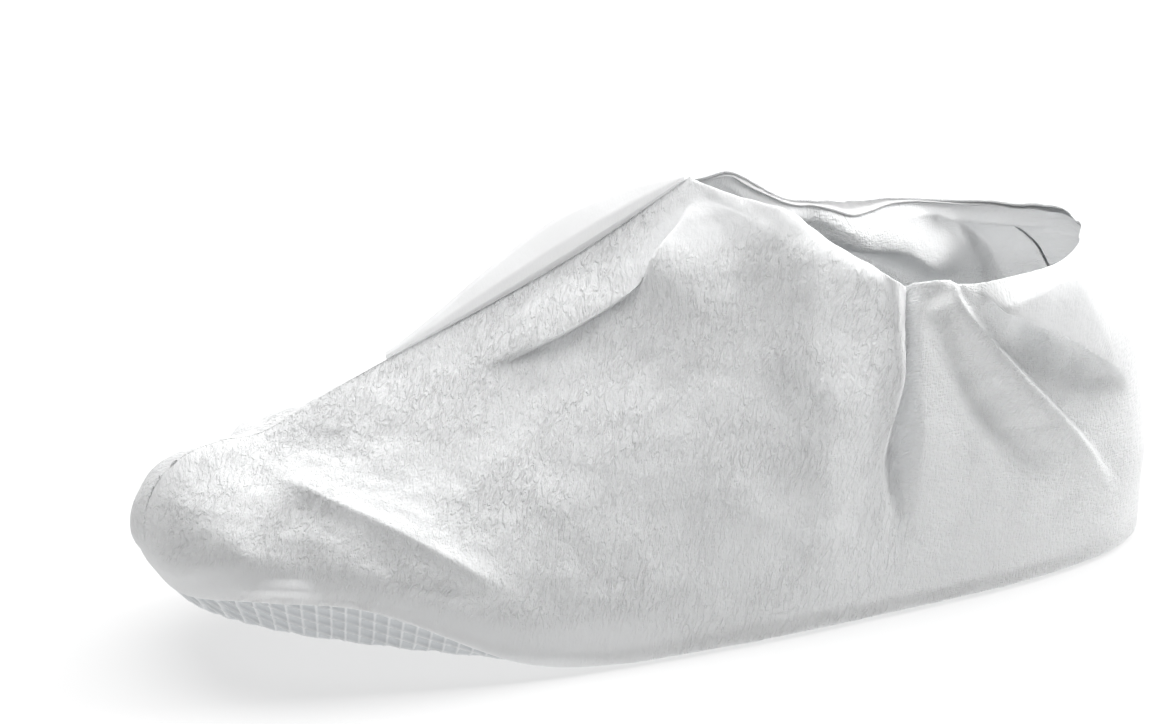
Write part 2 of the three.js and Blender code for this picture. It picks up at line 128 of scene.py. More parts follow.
# Folds, each along a curve through three places given as (section, share of the height).
# left and right: width of the flank on that side of the curve, seen from outside and looking along it.
# height: outward, or inward if negative. sharp: 0 for a round crest, 1 for a creased one.
# lean: how far the crest is pushed to its left, as a share of the height; past 1 the cloth laps over.
# fade_in and fade_out: shares of the curve over which the fold rises and dies out.
FOLD_COLUMNS = (
    "start_at", "start_up", "mid_at", "mid_up", "end_at", "end_up",
    "left", "right", "height", "sharp", "lean", "fade_in", "fade_out",
)
FOLD_ROWS = {
    "left": (
        (1.0, 0.62, 1.8, 0.64, 2.7, 0.78, 14, 14, 0.6, 0, 0, 0.4, 0.3),  # shoulder of the toe
        (2.76, 0.82, 3.45, 0.42, 4.3, 0.20, 40, 20, 5.5, 0.9, -0.15, 0.25, 0.3),  # crease across the vamp
        (2.6, 0.68, 3.22, 0.40, 3.9, 0.17, 6, 24, -0.8, 0, 0, 0.3, 0.3),  # hollow on its toe side
        (4.9, 0.835, 5.75, 0.825, 6.5, 0.84, 13, 2.8, 2.8, 0.3, -1.1, 0.4, 0.2),  # strip along the instep
        (5.3, 0.70, 5.9, 0.68, 6.5, 0.69, 22, 22, -1.6, 0, 0, 0.35, 0.4),  # hollow under the strip
        (6.2, 0.78, 6.65, 0.84, 7.08, 0.95, 3.2, 24, 3.4, 0.2, 1.0, 0.35, 0.65),  # flap at the opening
        (7.9, 0.91, 8.5, 0.91, 9.1, 0.87, 10, 20, 3, 0, 0, 0.35, 0.4),  # roll below the rim
        (9.4, 0.98, 9.15, 0.66, 9.0, 0.28, 4.5, 26, 8, 0.2, 0.4, 0, 0.5),  # end of the front hump
        (9.55, 0.98, 9.4, 0.56, 9.52, 0.16, 6, 6, -6, 0, 0, 0, 0.4),  # valley behind the hump
        (9.85, 0.98, 9.67, 0.56, 9.65, 0.14, 20, 4.5, 4, 0.3, 0, 0, 0.4),  # ridge behind the valley
        (10.45, 0.95, 10.8, 0.56, 11.2, 0.22, 10, 12, -4.5, 0, 0, 0.1, 0.5),  # second valley
        (10.7, 0.98, 11.37, 0.52, 12.4, 0.12, 5, 16, 5.5, 0.5, 0.3, 0, 0.4),  # sharp ridge to the heel
        (11.4, 0.96, 12.42, 0.79, 13.3, 0.37, 26, 3.6, 7, 0.3, -1.0, 0.2, 0.35),  # collar over the heel
        (11.8, 0.82, 12.3, 0.65, 13.0, 0.36, 7, 15, -6, 0, 0, 0.3, 0.4),  # hollow under the collar
    ),
    "right": (
        (2.8, 0.76, 3.6, 0.42, 4.5, 0.22, 38, 8, 6, 0.2, -0.3, 0.3, 0.35),  # crease across the vamp
        (2.6, 0.55, 3.2, 0.34, 3.9, 0.15, 14, 22, -3.5, 0, 0, 0.3, 0.3),  # hollow on its toe side
        (5.4, 0.80, 6.0, 0.79, 6.9, 0.86, 20, 5, 4, 0.3, -0.8, 0.3, 0.3),  # strip along the instep
        (9.7, 0.88, 11.4, 0.79, 12.3, 0.58, 15, 9, -15, 0.3, 0, 0.3, 0.3),  # wall folded into the opening
        (12.6, 0.90, 12.8, 0.74, 12.7, 0.50, 7, 26, -8, 0.1, 0, 0.5, 0.4),  # upright end of that fold
        (7.4, 0.93, 11.4, 0.915, 14.8, 0.90, 6, 15, -5, 0.4, 0, 0.1, 0.1),  # band below the rim
        (8.6, 0.66, 9.8, 0.62, 11.0, 0.62, 14, 30, 5, 0.3, 0, 0.3, 0.3),  # bulge below it
        (11.3, 0.58, 11.1, 0.38, 10.8, 0.16, 12, 8, 5, 0.4, 0, 0.3, 0.5),  # ridge down from the bulge
        (12.9, 0.48, 12.6, 0.36, 12.3, 0.20, 10, 10, -4, 0, 0, 0.3, 0.5),  # valley behind it
        (13.3, 0.60, 13.2, 0.42, 13.4, 0.18, 14, 8, 5, 0.5, 0, 0.4, 0.5),  # ridge down to the heel
    ),
}
FOLD_STEPS = 40  # straight steps that stand for a fold's curve

# Small folds at the lower edge of the toe, which the margins below don't quieten
LOW_FOLD_ROWS = {
    "left": ((1.74, 0.05, 2.24, 0.10, 2.63, 0.04, 3, 4, 1.8, 0.3, 0, 0.4, 0.4),),
    "right": ((1.5, 0.06, 2.1, 0.10, 2.7, 0.05, 3, 4, 1.6, 0.3, 0, 0.4, 0.4),),
}


def named_folds(rows_of_sides):
    """Each side's folds with their values named."""
    return {
        side: [dict(zip(FOLD_COLUMNS, row)) for row in rows]
        for side, rows in rows_of_sides.items()
    }


FOLDS = named_folds(FOLD_ROWS)
LOW_FOLDS = named_folds(LOW_FOLD_ROWS)

# Folds keep off the sewn edges by these margins
EDGE_CLEAR = 0.10  # share of the height without folds, at the sole
EDGE_MARGIN = 0.1  # share of the height, above that
RIDGE_MARGIN = 0.09  # share of the height, at the ridge
RIDGE_CALM = 9  # mm from the middle plane over which the cloth's unevenness comes in
RIM_EASE = 0.7  # in sections, from the opening's front to where the rim may fold
RIM_HOLD = 0.05  # share of the height, at the rim, over which some folds leave the rim where it is
RIM_HELD_FROM = {"left": 10.9, "right": OPENING_FRONT}  # in sections
TIP_MARGIN = 0.5  # in sections, at the toe tip and the heel

# Gathers that the elastic draws in the rim
GATHERS = 8  # on each side, as in the solids
GATHER_DEPTH = 0.8
GATHER_REACH = 0.12  # share of the panel's height over which they die out
GATHER_ENDS = 0.1  # share of the rim over which they start, at the front and at the heel
GATHER_UNEVEN = 1.7  # shift between neighbours, so that they differ in width
GATHER_SHARE = {"left": 1.0, "right": 0.3}  # the right rim is drawn smoother
FINE_GATHERS = 37
FINE_GATHER_DEPTH = 0.14
FINE_GATHER_REACH = 0.05
FINE_GATHER_UNEVEN = 2.0  # shift between neighbours

# Undulation of the cloth between its folds: wavelength and height of each layer
UNDULATION = ((52, 0.5), (31, 0.36), (19, 0.2), (11, 0.08), (6.5, 0.03))
WAVES_PER_LAYER = 7
WAVE_STRETCH = (0.8, 1.25)  # a wave's length is the layer's times this


def curve_between(p0, p1, p2, p3, t):
    """Smooth curve through four neighbouring values, between the second and the third."""
    return 0.5 * (
        2 * p1 + (p2 - p0) * t + (2 * p0 - 5 * p1 + 4 * p2 - p3) * t ** 2
        + (3 * p1 - p0 - 3 * p2 + p3) * t ** 3
    )


def section_at(u):
    """Section at any places u between the rows; past either end the other side's sections follow on.

    The rim_ columns are the top's with their corner at the opening's front.
    """
    u = np.asarray(u, float)
    row = np.clip(np.floor(u).astype(int), 0, LAST - 1)
    section = {}
    for name, values in SECTIONS.items():
        sign = -1 if name in OUTWARD else 1
        padded = np.concatenate([[sign * values[1]], values, [sign * values[-2]]])
        p0, p1, p2, p3 = (padded[row + step] for step in range(4))
        section[name] = curve_between(p0, p1, p2, p3, u - row)
        if name in TOP:
            p3 = np.where(row + 1 == OPENING_FRONT, 2 * p2 - p1, p3)
            p0 = np.where(row == OPENING_FRONT, p2 - 2 * RIM_START[name], p0)
            section["rim_" + name] = curve_between(p0, p1, p2, p3, u - row)
    section["sole_up"] = np.maximum(section["sole_up"], 0)
    section["edge_up"] = np.maximum(section["edge_up"], EDGE_LIFT)
    return section


def outward_at(u):
    """Plan direction that points out of the cover, square to its lower edge."""
    back = section_at(u - SLOPE_STEP)
    ahead = section_at(u + SLOPE_STEP)
    along = ahead["edge_along"] - back["edge_along"]
    out = ahead["edge_out"] - back["edge_out"]
    return unit(np.stack([along, -out, np.zeros_like(along)], -1))


def onto_path(points, path):
    """A path's straight steps and, for each point and step, the share along it and the way off it."""
    steps = path[1:] - path[:-1]
    from_start = points[:, None] - path[None, :-1]
    share = np.clip(np.einsum("psk,sk->ps", from_start, steps) / np.sum(steps ** 2, axis=1), 0, 1)
    return steps, share, from_start - share[..., None] * steps


def round_toe(points, u, v):
    """Widens the toe and the vamp next to the middle plane, so that they are round there."""
    ahead = 1 - smooth((u - TOE_ROUND_FROM) / TOE_ROUND_EASE)
    share = ahead * smooth((v - TOE_ROUND_LOW) / TOE_ROUND_RISE)
    near = (share > 0) & (points[..., 0] < TOE_ROUND_REACH)
    if not near.any():
        return points
    _, _, away = onto_path(points[near][:, 1:], TOE_PROFILE[:, 1:])
    depth = np.sqrt(np.min(np.sum(away ** 2, axis=-1), axis=1))
    out_of_middle = np.maximum(points[near][:, 0], 0)
    round_out = np.sqrt(2 * TOE_RADIUS * depth)
    wider = (out_of_middle ** 3 + round_out ** 3) ** (1 / 3)
    fade = 1 - smooth(out_of_middle / TOE_ROUND_REACH)
    points = points.copy()
    points[near, 0] = out_of_middle + (wider - out_of_middle) * share[near] * fade
    return points


def surface_at(side, u, v, rounded=True):
    """Smooth surface without folds, always on the left side."""
    u, v = np.broadcast_arrays(np.asarray(u, float), np.asarray(v, float))
    section = section_at(u)
    out = outward_at(u)
    flare = np.radians(section["flare"])[..., None]
    droop = np.radians(section["droop"])[..., None]
    edge = np.stack([section["edge_out"], section["edge_along"], section["edge_up"]], -1)
    t = v[..., None]

    def top_of(prefix):
        out_of_middle, along, up, right_up = (section[prefix + name] for name in TOP)
        lift = right_up if side == "right" else 0
        return np.stack([out_of_middle, along, up + lift], -1)

    corner = smooth((t - CORNER_FROM) / (1 - CORNER_FROM))
    top = top_of("") + (top_of("rim_") - top_of("")) * corner
    low = edge + section["rise"][..., None] * (UP * np.cos(flare) + out * np.sin(flare))
    high = top + section["reach"][..., None] * (out * np.cos(droop) - UP * np.sin(droop))
    points = (1 - t) ** 3 * edge + 3 * (1 - t) ** 2 * t * low + 3 * (1 - t) * t ** 2 * high + t ** 3 * top
    return round_toe(points, u, v) if rounded else points


def toe_profile():
    """The toe's outline on the middle plane, from its lower edge up and along the ridge."""
    upward = surface_at("left", 0.0, np.linspace(0, 1, PROFILE_UPWARD + 1), rounded=False)
    last = TOE_ROUND_FROM + TOE_ROUND_EASE
    along = surface_at("left", np.linspace(0, last, PROFILE_ALONG + 1), 1.0, rounded=False)
    return np.concatenate([upward, along[1:]])


TOE_PROFILE = toe_profile()


def surface_normal(side, u, v):
    along = surface_at(side, u + SLOPE_STEP, v) - surface_at(side, u - SLOPE_STEP, v)
    above = surface_at(side, u, np.minimum(v + SLOPE_STEP, 1))
    below = surface_at(side, u, np.maximum(v - SLOPE_STEP, 0))
    return unit(np.cross(along, above - below))


def fold_path(side, fold):
    """Corners of the straight steps along a fold's curve on the smooth surface."""
    start = np.array([fold["start_at"], fold["start_up"]])
    end = np.array([fold["end_at"], fold["end_up"]])
    pull = 2 * np.array([fold["mid_at"], fold["mid_up"]]) - (start + end) / 2
    t = np.linspace(0, 1, FOLD_STEPS + 1)[:, None]
    place = (1 - t) ** 2 * start + 2 * (1 - t) * t * pull + t ** 2 * end
    return surface_at(side, place[:, 0], place[:, 1])


def fold_push(side, fold, points, normals):
    """Push that one fold gives to each point of the smooth surface."""
    path = fold_path(side, fold)
    reach = max(fold["left"], fold["right"])
    close = np.all((points > path.min(0) - reach) & (points < path.max(0) + reach), axis=-1)
    near = points[close]
    steps, share, across = onto_path(near, path)
    distance = np.linalg.norm(across, axis=-1)
    best = np.argmin(distance, axis=1)
    pick = np.arange(len(near))
    distance = distance[pick, best]
    leftward = unit(np.cross(normals[close], steps[best]))
    on_left = np.einsum("pk,pk->p", across[pick, best], leftward) > 0
    x = np.minimum(distance / np.where(on_left, fold["left"], fold["right"]), 1)
    height = fold["height"] * (1 - x) ** 2 * (1 + 2 * x * (1 - fold["sharp"]))
    along = (best + share[pick, best]) / FOLD_STEPS
    if fold["fade_in"] > 0:
        height = height * smooth(along / fold["fade_in"])
    if fold["fade_out"] > 0:
        height = height * smooth((1 - along) / fold["fade_out"])
    push = np.zeros_like(points)
    push[close] = height[:, None] * (normals[close] + fold["lean"] * leftward)
    return push


def along_rim(u):
    """Share of the way along the rim, and a factor that dies out at its ends."""
    along = np.maximum(u - OPENING_FRONT, 0) / (LAST - OPENING_FRONT)
    return along, smooth(along / GATHER_ENDS) * smooth((1 - along) / GATHER_ENDS)


def gather_push(side, u, v):
    """Ripple of the rim where the elastic draws it in."""
    along, ends = along_rim(u)
    turn = np.pi * (GATHERS * along + np.sin(GATHER_UNEVEN * GATHERS * along) / np.pi)
    coarse = GATHER_DEPTH * np.sin(2 * turn) * smooth(1 - (1 - v) / GATHER_REACH)
    fine_turn = 2 * np.pi * FINE_GATHERS * along
    fine_turn = fine_turn + FINE_GATHER_UNEVEN * np.sin(GATHER_UNEVEN * GATHERS * along)
    fine = FINE_GATHER_DEPTH * np.sin(fine_turn) * smooth(1 - (1 - v) / FINE_GATHER_REACH)
    return ends * (coarse + fine) * GATHER_SHARE[side]


def undulation_waves():
    """Directions, lengths, starts and heights of the waves that make the cloth uneven."""
    waves = []
    for length, height in UNDULATION:
        for _ in range(WAVES_PER_LAYER):
            angle = rng.uniform(0, np.pi)
            stretch = rng.uniform(*WAVE_STRETCH)
            start = rng.uniform(0, 2 * np.pi)
            waves.append((angle, length * stretch, start, height / math.sqrt(WAVES_PER_LAYER)))
    return waves


WAVES = {side: undulation_waves() for side in ("left", "right")}


def undulation(side, place):
    total = np.zeros(place.shape[:-1])
    for angle, length, start, height in WAVES[side]:
        across = place[..., 0] * np.cos(angle) + place[..., 1] * np.sin(angle)
        total = total + height * np.sin(2 * np.pi * across / length + start)
    return total


GRAIN_SLANT = 0.42  # how far the cloth's grain runs forward as it goes out
STROKE_LEAN = 0.22  # how far an embossed stroke runs back as it goes up
FLAT_STEPS = 32  # straight steps that measure the way up the cloth


def cloth_place(side, u, v):
    """Places on the cloth laid flat, in millimetres: along the cover, and up from the lower edge."""
    point = surface_at(side, u, v)
    along = point[..., 1] + GRAIN_SLANT * point[..., 0]
    below = [surface_at(side, u, v * share) for share in np.linspace(0, 1, FLAT_STEPS + 1)]
    upward = sum(np.linalg.norm(b - a, axis=-1) for a, b in zip(below, below[1:]))
    return np.stack([along - STROKE_LEAN * upward, upward], -1)


def cloth_at(side, u, v):
    """Outer face of a panel with its folds and gathers, on the left side, and its flat places."""
    shape = np.broadcast(u, v).shape
    u = np.broadcast_to(u, shape).ravel()
    v = np.broadcast_to(v, shape).ravel()
    points = surface_at(side, u, v)
    normals = surface_normal(side, u, v)
    place = cloth_place(side, u, v)
    push = sum(fold_push(side, fold, points, normals) for fold in FOLDS[side])
    off_middle = np.maximum(smooth(points[:, 0] / RIDGE_CALM), smooth((u - OPENING_FRONT) / RIM_EASE))
    push = push + (undulation(side, place) * off_middle)[:, None] * normals
    near_ridge = np.maximum(smooth((1 - v) / RIDGE_MARGIN), smooth((u - OPENING_FRONT) / RIM_EASE))
    near_tips = smooth(u / TIP_MARGIN) * smooth((LAST - u) / TIP_MARGIN)
    held = smooth((u - RIM_HELD_FROM[side]) / RIM_EASE) * (1 - smooth((1 - v) / RIM_HOLD))
    near_ridge = near_ridge * (1 - held)
    push = push * (smooth((v - EDGE_CLEAR) / EDGE_MARGIN) * near_ridge * near_tips)[:, None]
    push = push + sum(fold_push(side, fold, points, normals) for fold in LOW_FOLDS[side])
    push = push + gather_push(side, u, v)[:, None] * normals
    return (points + push).reshape(shape + (3,)), place.reshape(shape + (2,))


FINE_STEPS = 1500  # along the cover, to measure lengths
SPACED_AT = (0.3, 0.9)  # shares of the height where columns are evenly spaced


def column_places(side):
    """Places u of a panel's columns, evenly spaced along it, with one at the opening's front."""
    cells = CELLS[side][0]
    step = INNER_STEP[side]
    fine = np.linspace(0, LAST, FINE_STEPS + 1)
    lines = [surface_at(side, fine, v) for v in SPACED_AT]
    steps = sum(np.linalg.norm(np.diff(line, axis=0), axis=-1) for line in lines)
    length = np.concatenate([[0], np.cumsum(steps)])
    at_front = np.interp(OPENING_FRONT, fine, length)
    before = int(round(cells * at_front / length[-1] / step)) * step
    ahead = np.interp(np.linspace(0, at_front, before + 1), length, fine)
    behind = np.interp(np.linspace(at_front, length[-1], cells - before + 1), length, fine)
    return np.concatenate([ahead, behind[1:]])


def grid_normals(points):
    along = np.gradient(points, axis=0)
    upward = np.gradient(points, axis=1)
    return unit(np.cross(along, upward))


def wall_depth(u, v):
    """Wall of a panel, thicker where the rim is turned in."""
    at_rim = smooth((u - OPENING_FRONT) / RIM_WALL_EASE)
    return CLOTH_WALL + (RIM_WALL - CLOTH_WALL) * at_rim * smooth(1 - (1 - v) / RIM_REACH)


SHARP_ANGLE = 62  # degrees between faces from which an edge is shaded sharp
END_FACE_TILT = 0.7  # faces that look across more than this are a panel's ends
WELD = 1e-7  # m, between vertices that are joined


def weld(mesh):
    """Joins vertices that lie in the same place, and drops the faces that this empties."""
    shape = bmesh.new()
    shape.from_mesh(mesh)
    bmesh.ops.remove_doubles(shape, verts=shape.verts, dist=WELD)
    bmesh.ops.dissolve_degenerate(shape, dist=WELD, edges=shape.edges)
    shape.to_mesh(mesh)
    shape.free()


class MeshParts:
    """Vertices with flat places and marks, and faces, gathered for one mesh."""

    def __init__(self):
        self.points = []
        self.places = []
        self.marks = []
        self.faces = []
        self.count = 0

    def add_grid(self, points, places, marks):
        """Adds a grid of vertices and returns their numbers in the same layout."""
        numbers = self.count + np.arange(points.shape[0] * points.shape[1]).reshape(points.shape[:2])
        self.points.append(points.reshape(-1, 3))
        self.places.append(places.reshape(-1, 2))
        self.marks.append(marks.reshape(-1, 3))
        self.count += numbers.size
        return numbers

    def add_quads(self, a, b, c, d):
        self.faces.extend(np.stack([a.ravel(), b.ravel(), c.ravel(), d.ravel()], -1).tolist())

    def fill_grid(self, numbers, facing=True):
        a, b = numbers[:-1, :-1], numbers[1:, :-1]
        c, d = numbers[1:, 1:], numbers[:-1, 1:]
        if facing:
            self.add_quads(a, b, c, d)
        else:
            self.add_quads(a, d, c, b)

    def close_sides(self, out, back):
        """Joins two grids along their first and last rows."""
        self.add_quads(out[:-1, 0], back[:-1, 0], back[1:, 0], out[1:, 0])
        self.add_quads(out[:-1, -1], out[1:, -1], back[1:, -1], back[:-1, -1])

    def close_ends(self, out, back):
        """Joins two grids along their first and last columns."""
        self.add_quads(out[0, :-1], out[0, 1:], back[0, 1:], back[0, :-1])
        self.add_quads(out[-1, :-1], back[-1, :-1], back[-1, 1:], out[-1, 1:])

    def add_slab(self, outer, inner, place, outer_marks, inner_marks, loop=False):
        """Adds a closed sheet between two grids, which may run round to their first column."""
        out = self.add_grid(outer, place, outer_marks)
        back = self.add_grid(inner, place, inner_marks)
        if loop:
            out = np.concatenate([out, out[:1]])
            back = np.concatenate([back, back[:1]])
        self.fill_grid(out)
        self.fill_grid(back, facing=False)
        self.close_sides(out, back)
        if not loop:
            self.close_ends(out, back)

    def stitch(self, fine, coarse, step, facing=True):
        """Joins a row of vertices to one with so many times fewer cells; its last cell takes the rest."""
        cells = len(coarse) - 1
        for cell in range(cells):
            end = (cell + 1) * step + 1 if cell < cells - 1 else len(fine)
            face = list(fine[cell * step:end]) + [coarse[cell + 1], coarse[cell]]
            self.faces.append([int(n) for n in (face[::-1] if facing else face)])

    def join_shading(self, mesh):
        """Turns the shading along the middle plane level where the third mark asks for it."""
        marked = np.concatenate(self.marks)[:, 2]
        if not marked.any():
            return
        corners = np.zeros(3 * len(mesh.loops), np.float32)
        mesh.corner_normals.foreach_get("vector", corners)
        corners = corners.reshape(-1, 3)
        vertices = np.zeros(len(mesh.loops), np.int32)
        mesh.loops.foreach_get("vertex_index", vertices)
        level = np.where(np.abs(corners[:, 0]) < END_FACE_TILT, marked[vertices], 0)
        corners[:, 0] *= 1 - level
        mesh.normals_split_custom_set(unit(corners).tolist())

    def make(self, name, mirror=False, welded=False):
        """Blender object of the gathered vertices and faces."""
        points = np.concatenate(self.points)
        faces = self.faces
        if mirror:
            points = points * ACROSS
            faces = [face[::-1] for face in faces]
        mesh = bpy.data.meshes.new(name)
        mesh.from_pydata((points * MM).tolist(), [], faces)
        flat = np.concatenate(self.places)
        flat = np.concatenate([flat, np.zeros((len(flat), 1))], axis=1)
        marks = np.concatenate(self.marks)
        for attribute, values in (("cloth_place", flat), ("cloth_mark", marks)):
            data = mesh.attributes.new(attribute, "FLOAT_VECTOR", "POINT").data
            data.foreach_set("vector", values.astype(np.float32).ravel())
        mesh.validate()
        if welded:
            weld(mesh)
        mesh.shade_smooth()
        mesh.set_sharp_from_angle(angle=math.radians(SHARP_ANGLE))
        self.join_shading(mesh)
        return add_object(name, mesh)


# Where the embossing is pressed flat, and by how much. Places and half widths are in sections and in
# shares of the height.
FLAT_PATCH_COLUMNS = ("at", "up", "at_wide", "up_wide", "amount")
FLAT_PATCH_ROWS = (
    (6.95, 0.87, 0.7, 0.10, 0.9),  # flap by the opening's front
    (7.7, 0.97, 0.9, 0.10, 0.8),  # rim behind it
    (13.2, 0.85, 1.9, 0.22, 0.85),  # collar
    (9.0, 0.95, 0.5, 0.12, 0.7),  # end of the hump at the rim
    (0.8, 0.10, 2.4, 0.16, 0.9),  # turned-under band of the toe
    (4.2, 0.04, 1.6, 0.10, 0.9),  # the same at the ball of the foot
)
FLAT_PATCHES = [dict(zip(FLAT_PATCH_COLUMNS, row)) for row in FLAT_PATCH_ROWS]
LINEN_FROM = 9.2  # section behind which the finer texture takes over
LINEN_EASE = 0.8
LINEN_OVER = 0.85  # share of the wavy embossing that it takes away
PATCH_CORE = 1.6  # above 1, a patch is fully flat round its middle
PATCH_FALL = 1.2  # how fast it ends


def cloth_marks(u, v):
    """For each point: strength of the wavy embossing, of the linen-like texture, and of level shading."""
    emboss = np.ones(np.broadcast(u, v).shape)
    for patch in FLAT_PATCHES:
        away = np.hypot((u - patch["at"]) / patch["at_wide"], (v - patch["up"]) / patch["up_wide"])
        emboss = emboss * (1 - patch["amount"] * smooth(PATCH_CORE - PATCH_FALL * away))
    linen = smooth((u - LINEN_FROM) / LINEN_EASE)
    return np.stack([emboss * (1 - LINEN_OVER * linen), emboss * linen, np.zeros_like(emboss)], -1)


def linen_marks(points, strength):
    """The same for a small piece, which has the linen-like texture alone."""
    marks = np.zeros(points.shape)
    marks[..., 1] = strength
    return marks


def panel_piece(name, side):
    rows = CELLS[side][1]
    step = INNER_STEP[side]
    u = column_places(side)[:, None]
    v = np.linspace(0, 1, rows + 1)[None, :]
    outer, place = cloth_at(side, u, v)
    normals = grid_normals(outer)
    marks = cloth_marks(u, v)
    depth = wall_depth(u, v)[..., None]
    inner = outer - depth * normals

    # The outer face goes on round the rim; at the ridge the same rows lie across the wall.
    rim = outer[:, -1:]
    thick = depth[:, -1:]
    upward = unit(outer[:, -1:] - outer[:, -2:-1])
    turn = (np.arange(1, ROLL_ROWS + 1) / (ROLL_ROWS + 1) * np.pi)[None, :, None]
    bulge = smooth((u - OPENING_FRONT) / ROLL_EASE)[..., None]
    roll = rim - normals[:, -1:] * thick * (1 - np.cos(turn)) / 2
    roll = roll + upward * bulge * thick / 2 * np.sin(turn)
    outer = np.concatenate([outer, roll], axis=1)
    place = np.concatenate([place, np.repeat(place[:, -1:], ROLL_ROWS, axis=1)], axis=1)
    marks = np.concatenate([marks, np.repeat(marks[:, -1:], ROLL_ROWS, axis=1)], axis=1)
    at_toe = 1 - smooth((u[:, 0] - TOE_ROUND_FROM) / TOE_ROUND_EASE)
    marks[:, rows, 2] = at_toe
    marks[0, :rows, 2] = smooth((v[0, :rows] - TOE_ROUND_LOW) / TOE_ROUND_RISE)

    def clear(points):
        points = points.copy()
        points[..., 0] = np.maximum(points[..., 0], 0) + CENTRE_GAP
        return points

    parts = MeshParts()
    inner_rows = np.append(np.arange(0, rows, step), rows)
    coarse = inner[::step][:, inner_rows]
    coarse_place = place[::step][:, inner_rows]
    coarse_marks = marks[::step][:, inner_rows]
    out = parts.add_grid(clear(outer), place, marks)
    back = parts.add_grid(clear(coarse), coarse_place, coarse_marks)
    parts.fill_grid(out)
    parts.fill_grid(back, facing=False)
    parts.stitch(out[:, 0], back[:, 0], step)
    parts.stitch(out[:, -1], back[:, -1], step, facing=False)
    for end, facing in ((0, False), (-1, True)):
        parts.stitch(out[end], back[end], step, facing)
    return parts.make(name, mirror=side == "right")


# Sole: a sheet with raised ribs in a grid, turned up inside the panels
SOLE_WALL = 0.8
SOLE_LAP = 0.04  # share of the panel's height that its edge runs up inside
SOLE_LINING = 1.0  # from the panel's outer face to the sole's
SOLE_TUCK = 1.0  # inset of the underside's edge, besides half the height that shows
SOLE_BEND = 2.0  # mm over which the edge bends up, on each side of the corner
SOLE_BEND_STEPS = 6
RIB_PITCH = 4.0
RIB_WIDE = 1.1
RIB_HIGH = 0.6
SOLE_EXTRA_COLUMNS = 120  # for a smooth outline, besides those on the ribs
SOLE_COLUMN_DIGITS = 4  # columns that agree in these are one
SOLE_EDGE_LEAST = 0.3  # height of the edge above the underside
SOLE_BEND_MOST = 0.9  # share of a short stretch that the bend may take
SOLE_TURNED_UP = 0.2  # faces that look up more than this are turned over
LEAST_LENGTH = 1e-6


def sole_profile(u):
    """Half section of the sole from the middle outwards, as corners in millimetres."""
    u = np.array([u])
    section = {name: float(value[0]) for name, value in section_at(u).items()}
    out = outward_at(u)[0]
    underside = section["sole_up"] + RIB_HIGH
    upper = surface_at("left", u, SOLE_LAP)[0] - surface_normal("left", u, SOLE_LAP)[0] * SOLE_LINING
    edge_up = max(section["edge_up"], underside + SOLE_EDGE_LEAST)
    edge = np.array([section["edge_out"], section["edge_along"], edge_up])
    edge = edge - out * SOLE_LINING
    tuck = SOLE_TUCK + max(section["edge_up"] - section["sole_up"], 0) / 2
    corner = edge - out * tuck
    corner[2] = underside
    corner[0] = max(corner[0], 0)
    edge[0] = max(edge[0], 0)
    upper[0] = max(upper[0], 0)
    middle = np.array([0, corner[1], underside])
    before = corner + (middle - corner) * min(SOLE_BEND / max(corner[0], LEAST_LENGTH), SOLE_BEND_MOST)
    band = np.linalg.norm(edge - corner)
    after = corner + (edge - corner) * min(SOLE_BEND / max(band, LEAST_LENGTH), SOLE_BEND_MOST)
    t = np.linspace(0, 1, SOLE_BEND_STEPS)[:, None]
    bend = (1 - t) ** 2 * before + 2 * (1 - t) * t * corner + t ** 2 * after
    return np.concatenate([[middle], bend, [edge, upper]])


def rib_rows(low, high):
    """Places of grid lines that follow the ribs: the feet and the crest of each."""
    first = math.ceil(low / RIB_PITCH)
    last = math.floor(high / RIB_PITCH)
    crests = np.arange(first, last + 1) * RIB_PITCH
    lines = np.concatenate([crests - RIB_WIDE / 2, crests, crests + RIB_WIDE / 2, [low, high]])
    return np.unique(np.clip(lines, low, high))


def rib_height(place):
    away = np.abs(place - np.round(place / RIB_PITCH) * RIB_PITCH)
    return RIB_HIGH * (1 - smooth(away / (RIB_WIDE / 2)))


def sole_piece(name):
    fine = np.linspace(0, LAST, FINE_STEPS + 1)
    along = section_at(fine)["edge_along"]
    lines = rib_rows(along[0], along[-1])
    on_ribs = np.interp(lines, along, fine)
    columns = np.concatenate([on_ribs, np.linspace(0, LAST, SOLE_EXTRA_COLUMNS)])
    columns = np.unique(np.round(columns, SOLE_COLUMN_DIGITS))
    lines_at = section_at(columns)["edge_along"]
    profiles = [sole_profile(u) for u in columns]
    steps = [np.linalg.norm(np.diff(profile, axis=0), axis=1) for profile in profiles]
    lengths = [np.concatenate([[0], np.cumsum(step)]) for step in steps]
    widest = max(length[-1] for length in lengths)
    half = rib_rows(0, widest)
    across = np.concatenate([-half[:0:-1], half])

    points = np.zeros((len(columns), len(across), 3))
    place = np.zeros((len(columns), len(across), 2))
    for i, (profile, length) in enumerate(zip(profiles, lengths)):
        reach = np.minimum(np.abs(across), length[-1])
        for axis in range(3):
            points[i, :, axis] = np.interp(reach, length, profile[:, axis])
        points[i, :, 0] *= np.where(across < 0, -1, 1)
        place[i, :, 0] = lines_at[i]
        place[i, :, 1] = reach * np.sign(across)
    normals = grid_normals(points)
    flip = np.where(np.sum(normals * UP, axis=-1, keepdims=True) > SOLE_TURNED_UP, -1, 1)
    normals = normals * flip
    ribs = np.maximum(rib_height(place[..., 0]), rib_height(place[..., 1]))
    marks = np.stack([ribs / RIB_HIGH, np.zeros_like(ribs), np.zeros_like(ribs)], -1)
    outer = points + normals * ribs[..., None]
    inner = points - normals * SOLE_WALL

    parts = MeshParts()
    parts.add_slab(outer, inner, place, marks, np.zeros_like(marks))
    return parts.make(name, welded=True)


